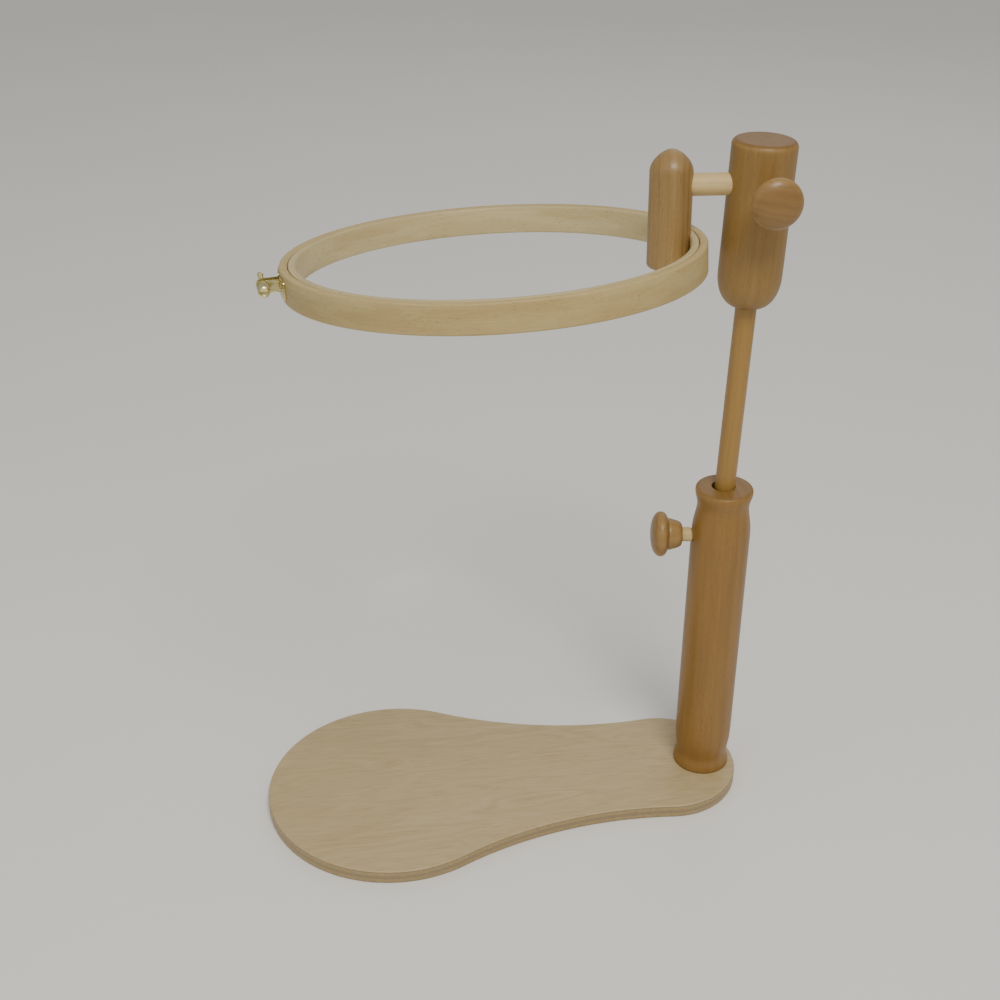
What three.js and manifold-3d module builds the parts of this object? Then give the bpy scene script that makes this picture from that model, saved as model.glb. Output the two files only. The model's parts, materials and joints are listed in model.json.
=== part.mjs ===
// Embroidery hoop on a sit-on stand. The user sits on the paddle-shaped base; a turned column at its
// end holds a sliding rod, whose head grips a cross arm, which carries a wooden hoop that tilts.
//
// Millimetres, +Z up. The origin is on the floor, on the column's axis. The base's round lobe lies
// towards -X, and the user faces +Y.

import * as THREE from 'three';
import { mergeVertices } from 'three/addons/utils/BufferGeometryUtils.js';
import Module from 'manifold-3d';

const wasm = await Module();
wasm.setup();

// Driving dimensions ---------------------------------------------------------------------------

const GAP = 0.3;                    // clearance left between touching or cut pieces
const OVERCUT = 1;                  // how far a cutter runs on past the face that it cuts
const THROUGH_CUT = 20;             // half the length of a cutter that passes right through a small piece

const BASE_THICKNESS = 9.5;
const BASE_BEVEL = 1;
const LOBE_X = -213;                // centre and radius of the paddle's round lobe
const LOBE_RADIUS = 84.5;
const END_X = -25.5;                // centre and radius of its small end, under the column
const END_RADIUS = 48;
const WAIST_RADIUS = 260;           // hollow arcs that join the two

const COLUMN_HEIGHT = 213;          // above the base
const COLUMN_RADIUS = 18.6;
const BORE_RADIUS = 7.5;
const BORE_DEPTH = 185;
const COLUMN_CLAMP_DROP = 33.6;     // clamp screw's axis below the column's top
const COLUMN_CLAMP_TURN = -9;       // degrees about the column: the clamp points a little past -X

const DOWEL_RADIUS = 6.35;          // the height rod and the cross arm are half-inch dowel
const ROD_LEAN = 1.4;               // degrees: the bore is drilled slightly out of plumb
const ROD_INSERTED = 64;            // rod inside the column
const ROD_EXPOSED = 122;            // rod between the column and the head
const ROD_IN_HEAD = 40;

const HEAD_RADIUS = 18.6;
const HEAD_LENGTH = 97.5;
const HEAD_NOSE_RADIUS = 7.5;       // flat left at the bottom of the head's rounded nose
const HEAD_NOSE_HEIGHT = 19;
const HEAD_TOP_ROUND = 3.6;
const SWIVEL = -3.5;                // degrees: how far the head is turned at rest

const ARM_ABOVE_HEAD_BOTTOM = 72.5; // cross arm's axis
const ARM_REACH = 50.9;             // head's axis to the hoop holder's axis
const ARM_IN_HOLDER = 17;           // depth of the blind hole for the arm
const ARM_SHORT_OF_FACE = 2;        // arm's inner end inside the head's far side

const HOLDER_RADIUS = 12.3;
const HOLDER_ABOVE_ARM = 20;
const HOLDER_BELOW_ARM = 47;
const HOLDER_DOME_HEIGHT = 11.8;
const HOLDER_DOME_POWER = 1.6;      // 2 is an ellipse, and less is more like a bullet
const HOLDER_FOOT_ROUND = 3;
const HOLDER_TILT = -6.55;          // degrees about the arm: the hoop is tipped away from the user
const HOOP_DROOP = -3;              // degrees: the hoop sags a little on its holder

const HOOP_BELOW_ARM = 36;          // the hoop's middle plane, measured down the holder
const HOLDER_TO_HOOP_CENTRE = 99.7;
const HOOP_HEIGHT = 16.5;
const INNER_RING_INSIDE = 110.8;    // radii
const INNER_RING_OUTSIDE = 115;
const OUTER_RING_INSIDE = INNER_RING_OUTSIDE + GAP;
const OUTER_RING_OUTSIDE = 120;
const RING_EASE = 1.1;              // eased edges

const SPLIT_ANGLE = 187;            // degrees round the hoop from its holder
const SPLIT_GAP = 3;
const LUG_OFFSET = 3.4;               // middle of each lug to the middle of the split
const BRASS_THICKNESS = 0.8;
const PLATE_LENGTH = 16;
const PLATE_HEIGHT = 11;
const LUG_HEIGHT = 7;
const SCREW_STAND_OFF = 9.8;        // hoop screw's axis outside the outer ring
const SCREW_RADIUS = 1.5;
const SCREW_HEAD_RADIUS = 3.3;
const SCREW_HEAD_LENGTH = 11.5;
const SCREW_TAIL = 27;              // shank past the middle of the split
const NUT_RADIUS = 3;
const NUT_LENGTH = 2.5;
const NUT_SIDES = 6;
const NAIL_HEAD_RADIUS = 1.4;
const NAIL_RADIUS = 0.6;
const NAIL_HEAD_HEIGHT = 0.9;
const NAIL_DEPTH = 3;               // into the wood

const CLAMP_SCREW_RADIUS = 4.75;    // three-eighths-inch threaded dowel
const CLAMP_SCREW_IN_KNOB = 12;
const CLAMP_SCREW_EASE = 1;         // chamfer at each end
const COLUMN_KNOB_STAND_OFF = 6;    // shank showing between the column and its knob
const HEAD_KNOB_STAND_OFF = 6.4;

const WOOD_SCREW_RADIUS = 2;
const WOOD_SCREW_HEAD_RADIUS = 4;
const BASE_SCREW_LENGTH = 28;
const BASE_SCREW_SPACING = 18;
const RING_SCREW_RADIUS = 1.3;
const RING_SCREW_HEAD_RADIUS = 2.6;
const RING_SCREW_LENGTH = 13;
const RING_SCREW_SPACING = 8;

// Worked-out places ----------------------------------------------------------------------------

const COLUMN_TOP = BASE_THICKNESS + COLUMN_HEIGHT;
const COLUMN_CLAMP_Z = COLUMN_TOP - COLUMN_CLAMP_DROP;
const HEAD_BOTTOM = ROD_EXPOSED;    // heights above the column's top, along the leaning rod
const BORE_SHIFT = -(BORE_RADIUS - DOWEL_RADIUS - GAP);   // the clamp presses the rod to the far wall
const SCREW_AXIS_RADIUS = OUTER_RING_OUTSIDE + SCREW_STAND_OFF;
const PLATE_INSIDE = OUTER_RING_OUTSIDE + GAP;
const PLATE_OUTSIDE = PLATE_INSIDE + BRASS_THICKNESS;
const NAIL_LENGTH = NAIL_HEAD_HEIGHT + GAP + BRASS_THICKNESS + GAP + NAIL_DEPTH;

const ROUND_SIDES = 36;             // facets round the large turned pieces
const SHAFT_SIDES = 24;
const SMALL_SIDES = 12;
const RING_SIDES = 72;
const ROUND_STEPS = 6;              // facets of a quarter round
const OUTLINE_SEGMENTS = 22;        // facets of each arc of the base's outline
const SMALL_SEGMENTS = 8;           // facets of each arc of a sheet-metal outline

const degrees = THREE.MathUtils.degToRad;

const ROD_X_AT_CLAMP = -COLUMN_CLAMP_DROP * Math.tan(degrees(ROD_LEAN));

// Colours and finishes -------------------------------------------------------------------------

const paleWood = () => new THREE.MeshStandardMaterial({ color: 0xd9c497, roughness: 0.62, metalness: 0 });
const plyWood = () => new THREE.MeshStandardMaterial({ color: 0xd8c095, roughness: 0.68, metalness: 0 });
const turnedWood = () => new THREE.MeshStandardMaterial({ color: 0xb98149, roughness: 0.38, metalness: 0 });
const amberWood = () => new THREE.MeshStandardMaterial({ color: 0xc79144, roughness: 0.4, metalness: 0 });
const brass = () => new THREE.MeshStandardMaterial({ color: 0xd3b566, roughness: 0.3, metalness: 1 });
const steel = () => new THREE.MeshStandardMaterial({ color: 0x9a9a98, roughness: 0.4, metalness: 1 });

// Geometry helpers -----------------------------------------------------------------------------

// Turns a closed three.js geometry into a manifold solid: shared corners merged, slivers dropped.
function solidOf(geometry) {
  const bare = geometry.clone();
  bare.deleteAttribute('normal');
  bare.deleteAttribute('uv');
  const merged = mergeVertices(bare);
  const corners = merged.index.array;
  const faces = [];
  for (let i = 0; i < corners.length; i += 3) {
    const [a, b, c] = [corners[i], corners[i + 1], corners[i + 2]];
    if (a !== b && b !== c && c !== a) {
      faces.push(a, b, c);
    }
  }
  return new wasm.Manifold(new wasm.Mesh({
    numProp: 3,
    vertProperties: new Float32Array(merged.attributes.position.array),
    triVerts: new Uint32Array(faces),
  }));
}

function geometryOf(solid) {
  const mesh = solid.getMesh();
  const geometry = new THREE.BufferGeometry();
  geometry.setAttribute('position', new THREE.BufferAttribute(new Float32Array(mesh.vertProperties), 3));
  geometry.setIndex(new THREE.BufferAttribute(new Uint32Array(mesh.triVerts), 1));
  return geometry;
}

// Cuts each of the tools out of the body.
function cut(body, ...tools) {
  const solids = tools.map(solidOf);
  return geometryOf(solids.reduce((left, tool) => left.subtract(tool), solidOf(body)));
}

// Turns [radius, height] points about the Z axis. The first and last points are on the axis.
function turned(profile, sides) {
  const points = profile.map(([radius, height]) => new THREE.Vector2(radius, height));
  return new THREE.LatheGeometry(points, sides).rotateX(Math.PI / 2);
}

// A plain round bar on the Z axis between two heights.
function bar(radius, bottom, top, sides) {
  return turned([[0, bottom], [radius, bottom], [radius, top], [0, top]], sides);
}

// Points of a quarter ellipse between two [radius, height] points. It leaves the first one upright
// (along the height) and reaches the second one level (along the radius). A power below 2 makes it
// more pointed.
function quarterRound([fromRadius, fromHeight], [toRadius, toHeight], power = 2) {
  return Array.from({ length: ROUND_STEPS + 1 }, (_, i) => {
    const turn = (i / ROUND_STEPS) * (Math.PI / 2);
    return [
      toRadius + (fromRadius - toRadius) * Math.cos(turn) ** (2 / power),
      fromHeight + (toHeight - fromHeight) * Math.sin(turn) ** (2 / power),
    ];
  });
}

// Lays a Z-axis geometry along +X, or along -Y.
const alongX = (geometry) => geometry.rotateY(Math.PI / 2);
const alongMinusY = (geometry) => geometry.rotateX(Math.PI / 2);

function piece(name, geometry, material) {
  const mesh = new THREE.Mesh(geometry, material);
  mesh.name = name;
  return mesh;
}

function frame(parent, { position = [0, 0, 0], turnX = 0, turnY = 0, turnZ = 0 } = {}) {
  const group = new THREE.Group();
  group.position.set(...position);
  group.rotation.set(degrees(turnX), degrees(turnY), degrees(turnZ));
  parent.add(group);
  return group;
}

// A countersunk wood screw on the Z axis: its flat head is at z = 0 and its point is up at z = length.
function woodScrew(radius, headRadius, length) {
  const taper = headRadius - radius;
  return turned([
    [0, 0], [headRadius, 0], [radius, taper], [radius, length - 2 * radius], [0, length],
  ], SMALL_SIDES);
}

// The hole that such a screw sits in, run on a little below its head.
function woodScrewHole(radius, headRadius, length) {
  const taper = headRadius - radius;
  return turned([
    [0, -GAP - OVERCUT], [headRadius + GAP, -GAP - OVERCUT], [headRadius + GAP, 0], [radius + GAP, taper],
    [radius + GAP, length + GAP], [0, length + GAP],
  ], SMALL_SIDES);
}

// Base -----------------------------------------------------------------------------------------

// The paddle's outline: two circles joined on each side by a hollow arc that touches both.
function paddleShape() {
  const span = END_X - LOBE_X;
  const toLobe = LOBE_RADIUS + WAIST_RADIUS;
  const toEnd = END_RADIUS + WAIST_RADIUS;
  const along = (span ** 2 + toLobe ** 2 - toEnd ** 2) / (2 * span);
  const waistX = LOBE_X + along;
  const waistY = Math.sqrt(toLobe ** 2 - along ** 2);
  const lobeTurn = Math.atan2(waistY, waistX - LOBE_X);
  const endTurn = Math.atan2(waistY, waistX - END_X);
  const shape = new THREE.Shape();
  shape.absarc(LOBE_X, 0, LOBE_RADIUS, lobeTurn, 2 * Math.PI - lobeTurn, false);
  shape.absarc(waistX, -waistY, WAIST_RADIUS, Math.PI - lobeTurn, Math.PI - endTurn, true);
  shape.absarc(END_X, 0, END_RADIUS, -endTurn, endTurn, false);
  shape.absarc(waistX, waistY, WAIST_RADIUS, endTurn - Math.PI, lobeTurn - Math.PI, true);
  return shape;
}

const baseScrewPlaces = [-1, 1].map((side) => [side * BASE_SCREW_SPACING / 2, 0, 0]);

function baseScrewHoles() {
  return baseScrewPlaces.map((place) => (
    woodScrewHole(WOOD_SCREW_RADIUS, WOOD_SCREW_HEAD_RADIUS, BASE_SCREW_LENGTH).translate(...place)
  ));
}

function basePlate() {
  const board = new THREE.ExtrudeGeometry(paddleShape(), {
    depth: BASE_THICKNESS - 2 * BASE_BEVEL,
    bevelThickness: BASE_BEVEL,
    bevelSize: BASE_BEVEL,
    bevelOffset: -BASE_BEVEL,
    bevelSegments: 1,
    curveSegments: OUTLINE_SEGMENTS,
  }).translate(0, 0, BASE_BEVEL);
  return cut(board, ...baseScrewHoles());
}

// Column ---------------------------------------------------------------------------------------

// Radius and height above the base, from the foot up to the lip.
function columnProfile() {
  const top = COLUMN_HEIGHT;
  return [
    [0, GAP], [18.3, GAP], [18.7, 1.5], [18.2, 4.5], [17.4, 7], [16.9, 9.5], [17.1, 12],
    [17.6, 15.5], [18.1, 19], [18.5, 25], [COLUMN_RADIUS, 32], [COLUMN_RADIUS, top - 40],
    [18.5, top - 29], [18.1, top - 24.5], [17.3, top - 19.5], [16.6, top - 15.5],
    [16.3, top - 12], [16.6, top - 8.6], [17.3, top - 5.8], [17.8, top - 4], [18, top - 1.4],
    [17.4, top - 0.3], [16.4, top], [0, top],
  ];
}

// The bore runs along the leaning rod.
function columnBore() {
  return bar(BORE_RADIUS, -BORE_DEPTH, OVERCUT, SHAFT_SIDES)
    .translate(BORE_SHIFT, 0, 0)
    .rotateZ(degrees(COLUMN_CLAMP_TURN))
    .rotateY(degrees(ROD_LEAN))
    .translate(0, 0, COLUMN_TOP);
}

function column() {
  const post = turned(columnProfile(), ROUND_SIDES).translate(0, 0, BASE_THICKNESS);
  const clampHole = alongX(bar(CLAMP_SCREW_RADIUS + GAP, -2 * COLUMN_RADIUS, 0, SHAFT_SIDES))
    .rotateZ(degrees(COLUMN_CLAMP_TURN))
    .translate(ROD_X_AT_CLAMP, 0, COLUMN_CLAMP_Z);
  return cut(post, columnBore(), clampHole, ...baseScrewHoles());
}

// Clamp knobs ----------------------------------------------------------------------------------

// Mushroom knob on the Z axis, from its collar at z = 0 out to its domed face, with a blind hole.
function clampKnob() {
  const knob = turned([
    [0, 0], [5.6, 0], [7.4, 0.8], [8.4, 2.2], [9.1, 4.2], [9.7, 6.3], [10.1, 7.9], [10.1, 8.7],
    [11.3, 9.5], [13.1, 10.7], [14.1, 12.1], [14.4, 13.5], [13.7, 15.3], [11.8, 17], [9, 18.2],
    [4.8, 19.2], [0, 19.5],
  ], SHAFT_SIDES);
  return cut(knob, bar(CLAMP_SCREW_RADIUS + GAP, -OVERCUT, CLAMP_SCREW_IN_KNOB + GAP, SHAFT_SIDES));
}

// Threaded shank on the Z axis: z = 0 is the gripped dowel's surface, with the knob at the far end.
function clampScrew(length) {
  const tip = CLAMP_SCREW_RADIUS - CLAMP_SCREW_EASE;
  return turned([
    [0, GAP], [tip, GAP], [CLAMP_SCREW_RADIUS, GAP + CLAMP_SCREW_EASE],
    [CLAMP_SCREW_RADIUS, length - CLAMP_SCREW_EASE], [tip, length], [0, length],
  ], SHAFT_SIDES);
}

// Adds a knob and its shank, both pointing out along the group's +Z from its origin at the gripped
// dowel's surface. The knob starts at the height knobStart.
function addClamp(group, name, knobStart) {
  group.add(piece(`${name}_clamp_screw`, clampScrew(knobStart + CLAMP_SCREW_IN_KNOB), paleWood()));
  const knob = piece(`${name}_clamp_knob`, clampKnob(), turnedWood());
  knob.position.z = knobStart;
  group.add(knob);
}

// Head -----------------------------------------------------------------------------------------

function headBlock() {
  const nose = quarterRound([HEAD_RADIUS, HEAD_NOSE_HEIGHT], [HEAD_NOSE_RADIUS, 0]).reverse();
  const brow = quarterRound(
    [HEAD_RADIUS, HEAD_LENGTH - HEAD_TOP_ROUND], [HEAD_RADIUS - HEAD_TOP_ROUND, HEAD_LENGTH],
  );
  const block = turned([[0, 0], ...nose, ...brow, [0, HEAD_LENGTH]], ROUND_SIDES);
  const rodHole = bar(DOWEL_RADIUS + GAP, -OVERCUT, ROD_IN_HEAD + GAP, SHAFT_SIDES);
  const armHole = alongX(bar(DOWEL_RADIUS + GAP, -2 * HEAD_RADIUS, 2 * HEAD_RADIUS, SHAFT_SIDES))
    .rotateY(degrees(-ROD_LEAN))
    .translate(0, 0, ARM_ABOVE_HEAD_BOTTOM);
  const clampHole = alongMinusY(bar(CLAMP_SCREW_RADIUS + GAP, 0, 2 * HEAD_RADIUS, SHAFT_SIDES))
    .translate(0, 0, ARM_ABOVE_HEAD_BOTTOM);
  return cut(block, rodHole, armHole, clampHole);
}

// Cross arm and hoop holder --------------------------------------------------------------------

// A dowel on the Z axis with slightly eased ends.
function dowel(bottom, top) {
  const ease = 0.6;
  return turned([
    [0, bottom], [DOWEL_RADIUS - ease, bottom], [DOWEL_RADIUS, bottom + ease],
    [DOWEL_RADIUS, top - ease], [DOWEL_RADIUS - ease, top], [0, top],
  ], SHAFT_SIDES);
}

// The arm lies along X, with x = 0 at the head's axis and the holder towards -X.
function crossArm() {
  const outerEnd = -ARM_REACH + HOLDER_RADIUS - ARM_IN_HOLDER + GAP;
  const innerEnd = HEAD_RADIUS - ARM_SHORT_OF_FACE;
  return alongX(dowel(outerEnd, innerEnd));
}

const ringScrewPlaces = [-1, 1].map((side) => side * RING_SCREW_SPACING / 2);

// Lays a part that points up +Z so that it points inwards along -X, starting at the ring's outside.
function atHolderSeat(geometry, height) {
  return geometry.rotateY(-Math.PI / 2).translate(INNER_RING_OUTSIDE, 0, height);
}

function ringScrewHoles() {
  return ringScrewPlaces.map((height) => (
    atHolderSeat(woodScrewHole(RING_SCREW_RADIUS, RING_SCREW_HEAD_RADIUS, RING_SCREW_LENGTH), height)
  ));
}

// Moves a geometry from the hoop's frame to the holder's frame.
function hoopToHolder(geometry) {
  return geometry
    .translate(-HOLDER_TO_HOOP_CENTRE, 0, 0)
    .rotateY(degrees(HOOP_DROOP))
    .translate(0, 0, -HOOP_BELOW_ARM);
}

// The holder stands on the Z axis with the arm's axis at z = 0. It is hollowed where it beds
// against the inner ring.
function hoopHolder() {
  const shoulder = HOLDER_ABOVE_ARM - HOLDER_DOME_HEIGHT;
  const tip = 2.2;
  const crease = 0.3;
  const foot = quarterRound(
    [HOLDER_RADIUS, HOLDER_FOOT_ROUND - HOLDER_BELOW_ARM],
    [HOLDER_RADIUS - HOLDER_FOOT_ROUND, -HOLDER_BELOW_ARM],
  ).reverse();
  const dome = quarterRound(
    [HOLDER_RADIUS - crease, shoulder + crease], [tip, HOLDER_ABOVE_ARM], HOLDER_DOME_POWER,
  );
  const peg = turned([
    [0, -HOLDER_BELOW_ARM], ...foot, [HOLDER_RADIUS, shoulder], ...dome, [0, HOLDER_ABOVE_ARM],
  ], SHAFT_SIDES);
  const armHoleEnd = HOLDER_RADIUS - ARM_IN_HOLDER;
  const armHole = alongX(bar(DOWEL_RADIUS + GAP, armHoleEnd, 2 * HOLDER_RADIUS, SHAFT_SIDES));
  const seat = hoopToHolder(ring(INNER_RING_INSIDE - GAP, INNER_RING_OUTSIDE, HOOP_HEIGHT + 2 * GAP, 0));
  return cut(peg, armHole, seat, ...ringScrewHoles().map(hoopToHolder));
}

// Hoop -----------------------------------------------------------------------------------------

// A ring about the Z axis, centred on z = 0, with its four edges eased.
function ring(inside, outside, height, ease) {
  const half = height / 2;
  const corner = ([radius, height], inward, upward) => {
    const along = [radius + inward * ease, height];
    const beside = [radius, height + upward * ease];
    return ease > 0 ? [along, beside] : [[radius, height]];
  };
  const section = [
    ...corner([outside, -half], -1, 1),
    ...corner([outside, half], -1, -1).reverse(),
    ...corner([inside, half], 1, -1),
    ...corner([inside, -half], 1, 1).reverse(),
  ];
  return turned([...section, section[0]], RING_SIDES);
}

function innerRing() {
  const band = ring(INNER_RING_INSIDE, INNER_RING_OUTSIDE, HOOP_HEIGHT, RING_EASE);
  return cut(band, ...ringScrewHoles());
}

// At the split, +X points out of the hoop and +Y runs along its rim towards the near side.
const plateTurn = (along) => along / OUTER_RING_OUTSIDE;
const nailTurns = [0.38, 0.8].map((part) => plateTurn(LUG_OFFSET + part * PLATE_LENGTH));

// Lays a part that points up +Z so that it points at the hoop's axis from the radius given.
function atRim(geometry, radius, turn) {
  return geometry.rotateY(-Math.PI / 2).translate(radius, 0, 0).rotateZ(turn);
}

// A nail with a domed head, pointing up +Z from the top of its head at z = 0.
function nail() {
  return turned([
    [0, 0], [NAIL_HEAD_RADIUS * 0.6, NAIL_HEAD_HEIGHT * 0.25], [NAIL_HEAD_RADIUS, NAIL_HEAD_HEIGHT],
    [NAIL_RADIUS, NAIL_HEAD_HEIGHT], [NAIL_RADIUS, NAIL_LENGTH - NAIL_RADIUS], [0, NAIL_LENGTH],
  ], SMALL_SIDES);
}

function nailHoles() {
  const hole = () => bar(NAIL_RADIUS + GAP, 0, NAIL_LENGTH + GAP, SMALL_SIDES);
  return nailTurns.flatMap((turn) => [turn, -turn].map((at) => (
    atRim(hole(), PLATE_OUTSIDE + NAIL_HEAD_HEIGHT, at)
  )));
}

function outerRing() {
  const band = ring(OUTER_RING_INSIDE, OUTER_RING_OUTSIDE, HOOP_HEIGHT, RING_EASE);
  const split = new THREE.BoxGeometry(THROUGH_CUT, SPLIT_GAP, 2 * HOOP_HEIGHT)
    .translate(OUTER_RING_OUTSIDE, 0, 0);
  return cut(band, split, ...nailHoles());
}

// The plate lies on the ring's outside; the lug is folded straight out and has a round end.
// side is +1 for the near bracket and -1 for the far one.
function bracket(side) {
  const [start, end] = [LUG_OFFSET, LUG_OFFSET + PLATE_LENGTH].map((along) => side * plateTurn(along));
  const plateShape = new THREE.Shape();
  plateShape.absarc(0, 0, PLATE_OUTSIDE, start, end, side < 0);
  plateShape.absarc(0, 0, PLATE_INSIDE, end, start, side > 0);
  const plate = new THREE.ExtrudeGeometry(plateShape, {
    depth: PLATE_HEIGHT, bevelEnabled: false, curveSegments: SMALL_SEGMENTS,
  }).translate(0, 0, -PLATE_HEIGHT / 2);

  const half = LUG_HEIGHT / 2;
  const lugShape = new THREE.Shape();
  lugShape.moveTo(PLATE_INSIDE, -half);
  lugShape.absarc(SCREW_AXIS_RADIUS, 0, half, -Math.PI / 2, Math.PI / 2, false);
  lugShape.lineTo(PLATE_INSIDE, half);
  const lug = new THREE.ExtrudeGeometry(lugShape, {
    depth: BRASS_THICKNESS, bevelEnabled: false, curveSegments: SMALL_SEGMENTS,
  }).rotateX(Math.PI / 2).translate(0, BRASS_THICKNESS / 2 + side * LUG_OFFSET, 0);

  const joined = solidOf(plate).add(solidOf(lug));
  const screwHole = onScrewAxis(bar(SCREW_RADIUS + GAP, -THROUGH_CUT, THROUGH_CUT, SMALL_SIDES));
  return cut(geometryOf(joined), screwHole, ...nailHoles());
}

// Lays a Z-axis part along the hoop screw, with +Z towards the near side.
function onScrewAxis(geometry) {
  return geometry.rotateX(-Math.PI / 2).translate(SCREW_AXIS_RADIUS, 0, 0);
}

function hoopScrew() {
  const seat = LUG_OFFSET + BRASS_THICKNESS / 2 + GAP;
  const end = seat + SCREW_HEAD_LENGTH;
  const tipEase = 0.5;
  const headEase = 0.8;
  return onScrewAxis(turned([
    [0, -SCREW_TAIL], [SCREW_RADIUS - tipEase, -SCREW_TAIL], [SCREW_RADIUS, -SCREW_TAIL + tipEase],
    [SCREW_RADIUS, seat], [SCREW_HEAD_RADIUS, seat], [SCREW_HEAD_RADIUS, end - headEase],
    [SCREW_HEAD_RADIUS - headEase, end], [0, end],
  ], SHAFT_SIDES));
}

function hoopNut() {
  const seat = -(LUG_OFFSET + BRASS_THICKNESS / 2 + GAP);
  const block = onScrewAxis(bar(NUT_RADIUS, seat - NUT_LENGTH, seat, NUT_SIDES));
  const hole = onScrewAxis(bar(SCREW_RADIUS + GAP, -THROUGH_CUT, THROUGH_CUT, SMALL_SIDES));
  return cut(block, hole);
}

// Assembly -------------------------------------------------------------------------------------

const stand = new THREE.Group();

stand.add(piece('base_plate', basePlate(), plyWood()));
baseScrewPlaces.forEach((place, i) => {
  const screw = woodScrew(WOOD_SCREW_RADIUS, WOOD_SCREW_HEAD_RADIUS, BASE_SCREW_LENGTH);
  stand.add(piece(`base_screw_${i + 1}`, screw.translate(0, 0, GAP).translate(...place), steel()));
});
stand.add(piece('column', column(), turnedWood()));

// The column's clamp points along -X from the rod's surface.
const clampSide = frame(
  stand, { position: [ROD_X_AT_CLAMP, 0, COLUMN_CLAMP_Z], turnZ: COLUMN_CLAMP_TURN },
);
const columnClamp = frame(clampSide, { position: [-DOWEL_RADIUS, 0, 0], turnY: -90 });
addClamp(columnClamp, 'column', COLUMN_RADIUS + COLUMN_KNOB_STAND_OFF + ROD_X_AT_CLAMP - DOWEL_RADIUS);

// Everything above stands in the rod's leaning frame, whose origin is at the column's top.
const rodFrame = frame(stand, { position: [0, 0, COLUMN_TOP], turnY: ROD_LEAN });
rodFrame.add(piece('height_rod', dowel(-ROD_INSERTED, HEAD_BOTTOM + ROD_IN_HEAD), amberWood()));

const headFrame = frame(rodFrame, { position: [0, 0, HEAD_BOTTOM], turnZ: SWIVEL });
headFrame.add(piece('head_block', headBlock(), turnedWood()));
const headClamp = frame(headFrame, { position: [0, -DOWEL_RADIUS, ARM_ABOVE_HEAD_BOTTOM], turnX: 90 });
addClamp(headClamp, 'head', HEAD_RADIUS + HEAD_KNOB_STAND_OFF - DOWEL_RADIUS);

// The arm is level again.
const armFrame = frame(headFrame, { position: [0, 0, ARM_ABOVE_HEAD_BOTTOM], turnY: -ROD_LEAN });
armFrame.add(piece('cross_arm', crossArm(), paleWood()));

const holderFrame = frame(armFrame, { position: [-ARM_REACH, 0, 0], turnX: HOLDER_TILT });
holderFrame.add(piece('hoop_holder', hoopHolder(), turnedWood()));

const droopFrame = frame(holderFrame, { position: [0, 0, -HOOP_BELOW_ARM], turnY: HOOP_DROOP });
const hoopFrame = frame(droopFrame, { position: [-HOLDER_TO_HOOP_CENTRE, 0, 0] });
hoopFrame.add(piece('inner_ring', innerRing(), paleWood()));
ringScrewPlaces.forEach((height, i) => {
  const screw = woodScrew(RING_SCREW_RADIUS, RING_SCREW_HEAD_RADIUS, RING_SCREW_LENGTH);
  hoopFrame.add(piece(`holder_screw_${i + 1}`, atHolderSeat(screw.translate(0, 0, GAP), height), steel()));
});

const splitFrame = frame(hoopFrame, { turnZ: SPLIT_ANGLE });
splitFrame.add(piece('outer_ring', outerRing(), paleWood()));
splitFrame.add(piece('near_bracket', bracket(1), brass()));
splitFrame.add(piece('far_bracket', bracket(-1), brass()));
nailTurns.flatMap((turn) => [turn, -turn]).forEach((turn, i) => {
  const tack = atRim(nail(), PLATE_OUTSIDE + GAP + NAIL_HEAD_HEIGHT, turn);
  splitFrame.add(piece(`bracket_nail_${i + 1}`, tack, brass()));
});
splitFrame.add(piece('hoop_screw', hoopScrew(), brass()));
splitFrame.add(piece('hoop_nut', hoopNut(), brass()));

export default stand;
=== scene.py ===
# Embroidery hoop on a sit-on stand: the looks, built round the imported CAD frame.
#
# Blender 4.5. Shapes are worked out in millimetres in each piece's own frame and become metres when
# the mesh is made. A piece's frame has Z along its grain or its turning axis, unless its section says
# otherwise, so the materials read the grain from object coordinates.

import json
import math
from dataclasses import dataclass

import bmesh
import bpy
from mathutils import Matrix, Vector


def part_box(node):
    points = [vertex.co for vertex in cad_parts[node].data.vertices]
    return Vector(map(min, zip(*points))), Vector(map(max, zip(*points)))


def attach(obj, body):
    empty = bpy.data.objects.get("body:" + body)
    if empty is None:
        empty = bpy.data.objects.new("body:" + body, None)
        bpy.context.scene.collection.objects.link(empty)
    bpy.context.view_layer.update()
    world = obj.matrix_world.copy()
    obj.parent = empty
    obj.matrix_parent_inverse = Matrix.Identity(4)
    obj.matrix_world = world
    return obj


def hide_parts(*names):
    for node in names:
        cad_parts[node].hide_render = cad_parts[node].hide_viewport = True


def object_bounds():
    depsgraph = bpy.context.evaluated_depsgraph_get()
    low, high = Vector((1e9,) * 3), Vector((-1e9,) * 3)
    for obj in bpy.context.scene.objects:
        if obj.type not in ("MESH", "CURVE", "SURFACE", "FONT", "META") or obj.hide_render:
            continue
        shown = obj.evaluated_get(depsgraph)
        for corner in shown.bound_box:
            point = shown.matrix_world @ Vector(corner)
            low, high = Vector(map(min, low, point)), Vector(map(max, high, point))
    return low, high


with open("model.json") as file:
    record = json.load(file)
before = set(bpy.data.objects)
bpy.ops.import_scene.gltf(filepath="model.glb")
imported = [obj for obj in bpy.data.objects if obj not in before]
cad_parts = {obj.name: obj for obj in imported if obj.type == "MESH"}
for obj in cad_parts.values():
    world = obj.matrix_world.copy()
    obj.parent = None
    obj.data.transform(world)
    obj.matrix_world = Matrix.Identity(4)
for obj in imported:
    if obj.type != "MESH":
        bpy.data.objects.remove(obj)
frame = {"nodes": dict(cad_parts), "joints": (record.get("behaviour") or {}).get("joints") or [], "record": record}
cad_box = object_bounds()

MM = 0.001
TAU = math.tau
WORLD_X = Vector((1, 0, 0))
UP = Vector((0, 0, 1))

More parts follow.
